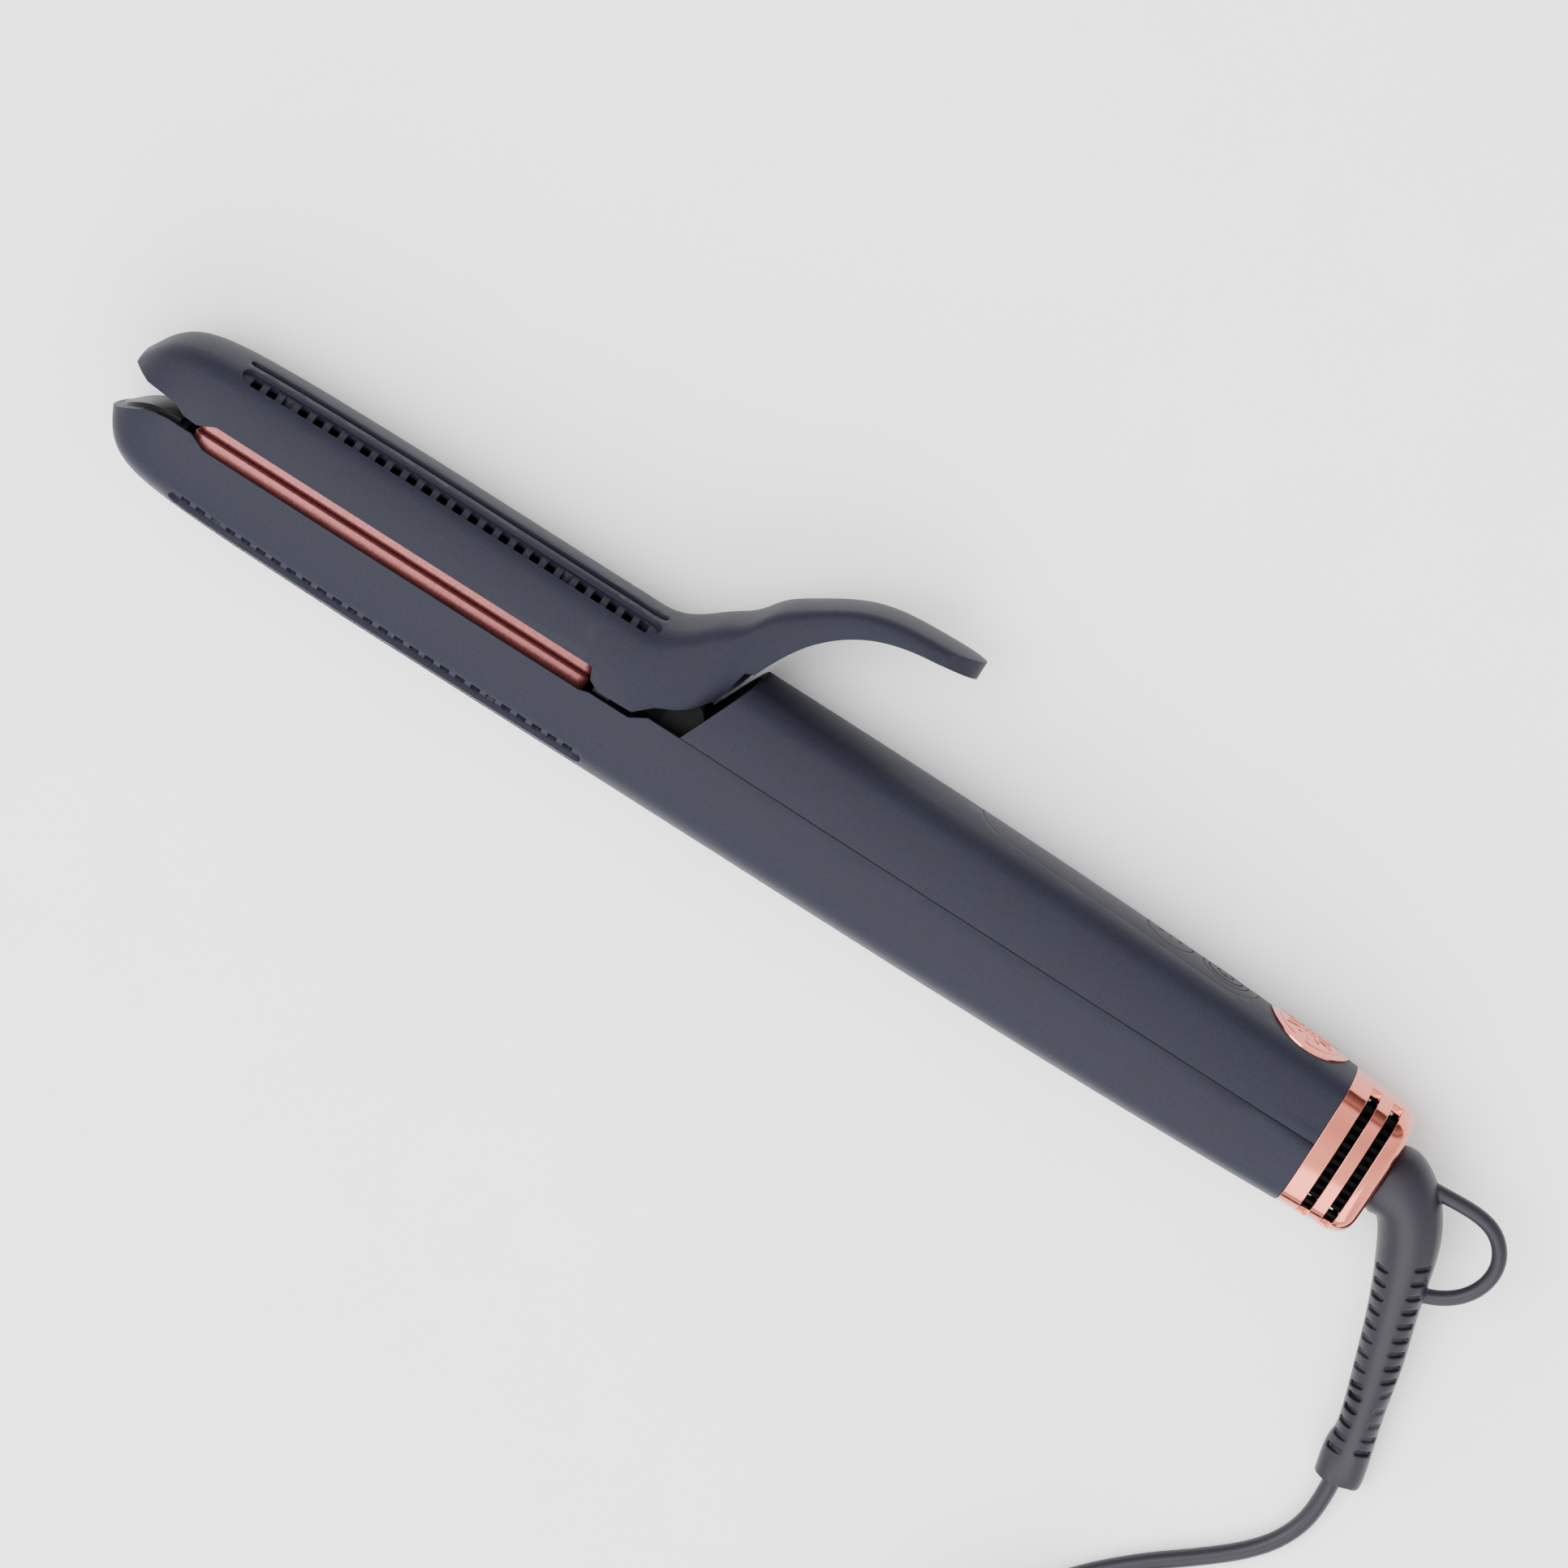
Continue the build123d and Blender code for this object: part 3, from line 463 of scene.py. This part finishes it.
@dataclass(frozen=True)
class Lamp:
    """One square soft light.

    Attributes:
        name: the light's name.
        place: where it hangs, in metres.
        size: its side, in metres.
        power: its power in watts.
    """

    name: str
    place: Colour
    size: float
    power: float


@dataclass
class Studio:
    """The pale floor, the lights and the camera.

    Attributes:
        aim: the point that the camera looks at, in metres.
        distance: from there to the camera.
        lean: how far the camera leans towards the lever side, in degrees.
        roll: how far the iron runs below level in the view, in degrees.
        lens: focal length in millimetres.
        brightness: strength of the surrounding light.
        floor_colour: the floor's colour.
        sky: brightness of the surroundings, from one side (0) over the top to the other (1).
        lamps: the soft lights.
        floor_size: half the floor's side, in metres.
    """

    aim: Vector = field(default_factory=lambda: Vector((-0.0118, 0.0125, 0.0185)))
    distance: float = 1.88
    lean: float = 9.5
    roll: float = 32.4
    lens: float = 188.0
    brightness: float = 2.1
    floor_colour: Colour = (0.95, 0.95, 0.955)
    sky: tuple[tuple[float, float], ...] = (
        (0.0, 0.7), (0.22, 1.0), (0.4, 1.25), (0.55, 0.85),
        (0.67, 1.1), (0.79, 0.2), (0.86, 0.45), (1.0, 0.06),
    )
    lamps: tuple[Lamp, ...] = (
        Lamp("key_light", (-0.6, -0.1, 1.7), size=1.2, power=36.0),
        Lamp("fill_light", (0.5, -1.1, 1.0), size=1.4, power=24.0),
    )
    floor_size: float = 3.0

    def camera(self) -> None:
        """Makes the camera and sets it as the scene's."""
        lean = math.radians(self.lean)
        roll = math.radians(self.roll)
        back = Vector((0, math.sin(lean), math.cos(lean)))
        level = Vector((0, math.cos(lean), -math.sin(lean)))
        right = Vector((math.cos(roll), 0, 0)) + level * math.sin(roll)
        up = Vector((-math.sin(roll), 0, 0)) + level * math.cos(roll)
        data = bpy.data.cameras.new("camera")
        data.lens = self.lens
        data.clip_end = 20
        camera = bpy.data.objects.new("camera", data)
        place = self.aim + back * self.distance
        camera.matrix_world = Matrix((
            (right.x, up.x, back.x, place.x),
            (right.y, up.y, back.y, place.y),
            (right.z, up.z, back.z, place.z),
            (0, 0, 0, 1),
        ))
        bpy.context.scene.collection.objects.link(camera)
        bpy.context.scene.camera = camera

    def hang(self, lamp: Lamp) -> None:
        """Adds one light that points at the aim.

        Args:
            lamp: the light.
        """
        data = bpy.data.lights.new(lamp.name, "AREA")
        data.size = lamp.size
        data.energy = lamp.power
        light = bpy.data.objects.new(lamp.name, data)
        light.location = lamp.place
        light.rotation_euler = (Vector(lamp.place) - self.aim).to_track_quat("Z", "Y").to_euler()
        bpy.context.scene.collection.objects.link(light)

    def floor(self) -> None:
        """Makes the pale floor."""
        mesh = bmesh.new()
        bmesh.ops.create_grid(mesh, x_segments=1, y_segments=1, size=self.floor_size)
        data = bpy.data.meshes.new("floor")
        mesh.to_mesh(data)
        mesh.free()
        floor = bpy.data.objects.new("floor", data)
        bpy.context.scene.collection.objects.link(floor)
        paper = Finish("floor_paper", self.floor_colour, roughness=0.9, tone=0.01, scale=60.0, bump=0.0)
        data.materials.append(paper.make())

    def surround(self) -> None:
        """Makes the surrounding light, brighter and darker in bands along the iron."""
        world = bpy.data.worlds.new("surround")
        world.use_nodes = True
        background = world.node_tree.nodes["Background"]
        background.inputs["Strength"].default_value = self.brightness
        sheet = Sheet(world.node_tree)
        heading = sheet.add("ShaderNodeTexCoord").outputs["Generated"]
        sideways = sheet.add("ShaderNodeSeparateXYZ", None, {"Vector": heading}).outputs["Y"]
        share = sheet.math("ADD", sheet.math("MULTIPLY", sideways, 0.5), 0.5)
        ramp = sheet.add("ShaderNodeValToRGB", None, {"Fac": share})
        stops = ramp.color_ramp.elements
        for place, value in self.sky[1:-1]:
            stops.new(place).color = (value, value, value, 1.0)
        for end in (0, -1):
            value = self.sky[end][1]
            stops[end].color = (value, value, value, 1.0)
        world.node_tree.links.new(ramp.outputs["Color"], background.inputs["Color"])
        bpy.context.scene.world = world

    def build(self) -> None:
        """Makes the floor, the surrounding light and the lamps."""
        self.floor()
        self.surround()
        for lamp in self.lamps:
            self.hang(lamp)


@dataclass
class MainsCord:
    """The mains cord: its way from the strain relief, its put-away coil, and its way to the plug.

    Attributes:
        diameter: the cord's diameter in metres.
        lead: points from the strain relief to the coil, in millimetres.
        tail: points from the coil to the plug, in millimetres.
        middle: the coil's middle.
        inner: radius of the innermost turn's middle.
        outer: radius of the outermost turn's middle.
        layers: layers of turns.
        turns: turns in a layer.
        rise: height from layer to layer.
        points: points in a turn.
    """

    diameter: float = 4.4 * MM
    lead: tuple[Colour, ...] = (
        (182.55, -58.66, 4.83), (183.6, -67.1, 3.15), (181.6, -76.0, 2.3), (176.5, -83.6, 2.2),
        (167.6, -91.6, 2.2), (155.5, -101.0, 2.2), (143.9, -112.5, 2.2), (134.2, -126.5, 2.3),
        (128.2, -141.1, 2.6), (126.0, -153.7, 3.2),
    )
    tail: tuple[Colour, ...] = (
        (126.0, -153.7, 16.7), (126.3, -167.2, 15.5), (128.7, -181.7, 12.6), (134.2, -194.9, 9.8),
        (143.7, -204.7, 7.9), (155.9, -208.5, 6.85), (167.9, -208.5, 6.85),
    )
    middle: tuple[float, float] = (159.4, -153.7)
    inner: float = 17.2
    outer: float = 33.4
    layers: int = 4
    turns: float = 3.5
    rise: float = 4.5
    points: int = 16

    def coil(self) -> list[Colour]:
        """Works out the coil's points, from its outer turn at the bottom to its outer turn on top.

        Returns:
            The points between the lead's last and the tail's first.
        """
        per_layer = int(self.turns * self.points)
        climb = self.points // 4
        places = []
        for step in range(1, self.layers * per_layer):
            layer, along = divmod(step, per_layer)
            travelled = min(1.0, along / (per_layer - climb))
            outward = travelled if layer % 2 else 1.0 - travelled
            radius = self.inner + (self.outer - self.inner) * outward
            climbed = max(0.0, along - (per_layer - climb)) / climb
            lifted = layer + (climbed if layer < self.layers - 1 else 0.0)
            angle = math.pi + 2 * math.pi * step / self.points
            x = self.middle[0] + radius * math.cos(angle)
            y = self.middle[1] + radius * math.sin(angle)
            places.append((x, y, self.lead[-1][2] + self.rise * lifted))
        return places

    def build(self, shop: Workshop, palette: Palette) -> None:
        """Makes the cord as a tube along one smooth spline.

        Args:
            shop: makes the material.
            palette: the finishes.
        """
        places = [*self.lead, *self.coil(), *self.tail]
        data = bpy.data.curves.new("cord_route", "CURVE")
        data.dimensions = "3D"
        data.resolution_u = 6
        data.use_fill_caps = True
        spline = data.splines.new("NURBS")
        spline.points.add(len(places) - 1)
        for point, place in zip(spline.points, places):
            point.co = (*(Vector(place) * MM), 1.0)
        spline.order_u = 3
        spline.use_endpoint_u = True
        route = bpy.data.objects.new("cord_route", data)
        line = bpy.data.meshes.new_from_object(route)
        data.bevel_depth = self.diameter / 2
        data.bevel_resolution = 4
        tube = bpy.data.meshes.new_from_object(route)
        bpy.data.objects.remove(route)
        for polygon in tube.polygons:
            polygon.use_smooth = True
        tube.materials.clear()
        tube.materials.append(shop.material(palette.rubber))
        cord = bpy.data.objects.new("mains_cord", tube)
        bpy.context.scene.collection.objects.link(cord)
        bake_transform(cord)
        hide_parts("cord_tube", "cord_coil", "cord_tail")
        shop.dress(palette.rubber, "plug_body")
        shop.dress(palette.brass, "plug_pins")
        shop.dress(palette.inner, "coil_tie")
        log.info("laid mains_cord, %d points", len(places))


@dataclass
class StrainRelief:
    """The moulded elbow, sleeve and hanging loop, with softened edges.

    Attributes:
        voxel: size of the cells that round the shape off, in metres.
        passes: smoothing passes.
    """

    voxel: float = 0.27 * MM
    passes: int = 2

    def build(self, shop: Workshop, palette: Palette) -> None:
        """Makes the sleeve from the CAD shape, its edges rounded as rubber is.

        Args:
            shop: makes the piece.
            palette: the finishes.
        """
        piece = shop.piece("soft_strain_relief", shop.merged("strain_relief"), palette.rubber, "cord_swivel")
        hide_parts("strain_relief")
        remesh = piece.modifiers.new("round_off", "REMESH")
        remesh.mode = "VOXEL"
        remesh.voxel_size = self.voxel
        remesh.use_smooth_shade = True
        smooth = piece.modifiers.new("soften", "SMOOTH")
        smooth.factor = 0.5
        smooth.iterations = self.passes
        shop.dress(palette.plain_shell, "swivel_spigot")
        shop.dress(palette.inner, "swivel_bearing")


@dataclass
class Shells:
    """The shells and the end cap, with a small round on their edges.

    Attributes:
        rounding: how their edges are rounded.
    """

    rounding: Rounding = Rounding(width=0.28 * MM, limit=42.0, segments=2)

    def build(self, shop: Workshop, palette: Palette) -> None:
        """Makes the three shells and the end cap, and dresses what lies in their openings.

        Args:
            shop: makes the pieces.
            palette: the finishes.
        """
        for node, body in (("lower_shell", "handle"), ("handle_shell", "handle"), ("arm_shell", "clip_arm")):
            shop.rounded(node, palette.shell, body, self.rounding)
        shop.rounded("end_cap", palette.rose, "handle", self.rounding)
        shop.dress(palette.inner, "intake_grille", "hinge_cover")


@dataclass
class Jaws:
    """The hot plates, their carriers and the nose inserts.

    Attributes:
        rounding: how the plates' edges are rounded.
    """

    rounding: Rounding = Rounding(width=0.5 * MM, limit=40.0, segments=3)

    def build(self, shop: Workshop, palette: Palette) -> None:
        """Makes the two plates and dresses the jaws' other inner parts.

        Args:
            shop: makes the plates and puts the finishes on.
            palette: the finishes.
        """
        for node, body in (("lower_plate", "handle"), ("upper_plate", "clip_arm")):
            shop.rounded(node, palette.plate, body, self.rounding)
        shop.dress(palette.inner, "lower_plate_frame", "upper_plate_frame")
        shop.dress(palette.ceramic, "lower_heater", "upper_heater")
        shop.dress(palette.silicone, "lower_pads", "upper_pads")
        shop.dress(palette.gloss_black, "lower_tip_insert", "upper_tip_insert", "rear_bumper")


@dataclass
class Works:
    """The hinge, the fan and the electronics."""

    def build(self, shop: Workshop, palette: Palette) -> None:
        """Dresses the inner works.

        Args:
            shop: puts the finishes on.
            palette: the finishes.
        """
        # painted shade: the steel finish is near-black so that the hinge bracket, pin and knuckle read as the
        # shadow in the hinge gap
        shop.dress(palette.steel, "hinge_bracket", "hinge_pin", "hinge_knuckle", "hinge_spring")
        shop.dress(palette.steel, "bracket_screws", "arm_screws", "board_screws", "fan_motor")
        shop.dress(palette.inner, "fan_duct", "fan_rotor")
        shop.dress(palette.board, "main_board", "control_board")
        shop.dress(palette.component, "board_components", "tact_switches")


@dataclass
class Relief:
    """Small raised shapes that lie on a node's upper surface and follow it.

    Attributes:
        surface: the surface that they lie on.
        mesh: the shapes, drawn flat, with their height along Y, until they are laid.
    """

    surface: BVHTree
    mesh: bmesh.types.BMesh = field(default_factory=bmesh.new)

    def arc(
        self, x: float, z: float, radius: float, line: float, start: float = 0.0, sweep: float = 360.0
    ) -> None:
        """Adds a round line along part of a circle.

        Args:
            x: the circle's middle.
            z: the circle's middle.
            radius: the circle's radius.
            line: the line's half width.
            start: where the line starts, in degrees.
            sweep: how far it runs, in degrees.
        """
        ring = bmesh.ops.create_circle(self.mesh, segments=10, radius=line)["verts"]
        bmesh.ops.translate(self.mesh, verts=ring, vec=(x + radius, 0, z))
        middle = (x, 0, z)
        turn = Matrix.Rotation(math.radians(start), 3, "Y")
        bmesh.ops.rotate(self.mesh, verts=ring, cent=middle, matrix=turn)
        edges = {edge for vert in ring for edge in vert.link_edges}
        whole = sweep >= 360.0
        steps = max(8, int(sweep / 7.5))
        bmesh.ops.spin(
            self.mesh, geom=list(edges), cent=middle, axis=(0, 1, 0), angle=math.radians(sweep), steps=steps,
            use_merge=whole,
        )

    def bar(self, x: float, z: float, length: float, line: float, turn: float = 0.0) -> None:
        """Adds a straight rounded bar.

        Args:
            x: its middle.
            z: its middle.
            length: its length.
            line: its half width.
            turn: its turn from the X direction, in degrees.
        """
        shape = Matrix.Translation((x, 0, z)) @ Matrix.Rotation(math.radians(turn), 4, "Y")
        stretch = Matrix.Diagonal((length / (2 * line), 1, 1, 1))
        placed = shape @ stretch
        bmesh.ops.create_uvsphere(self.mesh, u_segments=16, v_segments=10, radius=line, matrix=placed)

    def lay(self, rise: float, flatten: float) -> bmesh.types.BMesh:
        """Lays the flat shapes on the surface.

        Args:
            rise: how far their middle stands off the surface.
            flatten: share of their height that is kept.

        Returns:
            The laid shapes.
        """
        for vert in self.mesh.verts:
            above = Vector((vert.co.x, 0.1, vert.co.z))
            hit = self.surface.ray_cast(above, Vector((0, -1, 0)))[0]
            base = hit.y if hit else 0.0
            vert.co.y = base + rise + vert.co.y * flatten
        bmesh.ops.remove_doubles(self.mesh, verts=self.mesh.verts, dist=0.001 * MM)
        bmesh.ops.holes_fill(self.mesh, edges=self.mesh.edges, sides=12)
        bmesh.ops.recalc_face_normals(self.mesh, faces=self.mesh.faces)
        return self.mesh


@dataclass
class Controls:
    """The panel, its keys and the emblem.

    Attributes:
        petals: petals of the emblem's rosette.
        petal_reach: how far from the middle the short and the long petals stand.
        petal_length: length of the short and the long petals.
        petal_line: half width of a petal.
        rim: radius and half width of the emblem's rim.
        hub: radius and half width of the ring in the rosette's middle.
        line: half width of the marks on the keys.
        ring: radius of the power key's ring.
        sign: radius of the on-off sign's open ring.
        sign_offset: how far the plus and minus signs stand from the key's middle.
        sign_length: length of their bars.
    """

    petals: int = 12
    petal_reach: tuple[float, float] = (4.2 * MM, 4.9 * MM)
    petal_length: tuple[float, float] = (3.2 * MM, 4.6 * MM)
    petal_line: float = 0.62 * MM
    rim: tuple[float, float] = (8.3 * MM, 0.3 * MM)
    hub: tuple[float, float] = (1.7 * MM, 0.4 * MM)
    line: float = 0.2 * MM
    ring: float = 4.6 * MM
    sign: float = 2.2 * MM
    sign_offset: float = 2.7 * MM
    sign_length: float = 2.0 * MM

    def middle(self, node: str) -> Vector:
        """Returns the middle of a node's box.

        Args:
            node: the node's name.

        Returns:
            The box's middle.
        """
        low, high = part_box(node)
        return (Vector(low) + Vector(high)) / 2

    def emblem(self, shop: Workshop, palette: Palette) -> None:
        """Makes the rosette and the rim that stand on the emblem's disc.

        Args:
            shop: makes the piece.
            palette: the finishes.
        """
        middle = self.middle("emblem_disc")
        relief = Relief(shop.surface("emblem_disc"))
        relief.arc(middle.x, middle.z, *self.rim)
        relief.arc(middle.x, middle.z, *self.hub)
        for petal in range(self.petals):
            turn = 2 * math.pi * petal / self.petals
            reach = self.petal_reach[petal % 2]
            x = middle.x + reach * math.cos(turn)
            z = middle.z - reach * math.sin(turn)
            relief.bar(x, z, self.petal_length[petal % 2], self.petal_line, math.degrees(turn))
        shop.piece("emblem_rosette", relief.lay(0.02 * MM, 0.6), palette.rose, "handle")

    def marks(self, shop: Workshop, palette: Palette) -> None:
        """Makes the on-off sign on one key and the plus and minus signs on the other.

        Args:
            shop: makes the pieces.
            palette: the finishes.
        """
        middle = self.middle("power_button")
        relief = Relief(shop.surface("power_button"))
        relief.arc(middle.x, middle.z, self.ring, self.line)
        relief.arc(middle.x, middle.z, self.sign, self.line, 125.0, 290.0)
        relief.bar(middle.x, middle.z + 1.8 * MM, 2.4 * MM, self.line, 90.0)
        shop.piece("power_sign", relief.lay(0.0, 0.3), palette.inner, "power_key")
        middle = self.middle("temperature_rocker")
        relief = Relief(shop.surface("temperature_rocker"))
        for side in (-1, 1):
            relief.bar(middle.x + side * self.sign_offset, middle.z, self.sign_length, self.line)
        relief.bar(middle.x + self.sign_offset, middle.z, self.sign_length, self.line, 90.0)
        relief.bar(middle.x, middle.z, 3.2 * MM, self.line * 0.7, 90.0)
        shop.piece("temperature_signs", relief.lay(0.0, 0.3), palette.inner, "temperature_key")

    def build(self, shop: Workshop, palette: Palette) -> None:
        """Dresses the controls and makes their marks.

        Args:
            shop: puts the finishes on and makes the marks.
            palette: the finishes.
        """
        shop.dress(palette.panel, "control_panel", "power_button", "temperature_rocker")
        shop.dress(palette.plain_shell, "speed_button", "airflow_button")
        shop.dress(palette.rose, "emblem_disc")
        self.emblem(shop, palette)
        self.marks(shop, palette)


def main() -> None:
    """Builds the looks in order, camera and cord first."""
    logging.basicConfig(level=logging.INFO, format="%(message)s")
    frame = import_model()
    shop = Workshop(frame)
    palette = Palette()
    studio = Studio()
    studio.camera()
    MainsCord().build(shop, palette)
    StrainRelief().build(shop, palette)
    Shells().build(shop, palette)
    Jaws().build(shop, palette)
    Controls().build(shop, palette)
    Works().build(shop, palette)
    studio.build()


if __name__ == "__main__":
    main()
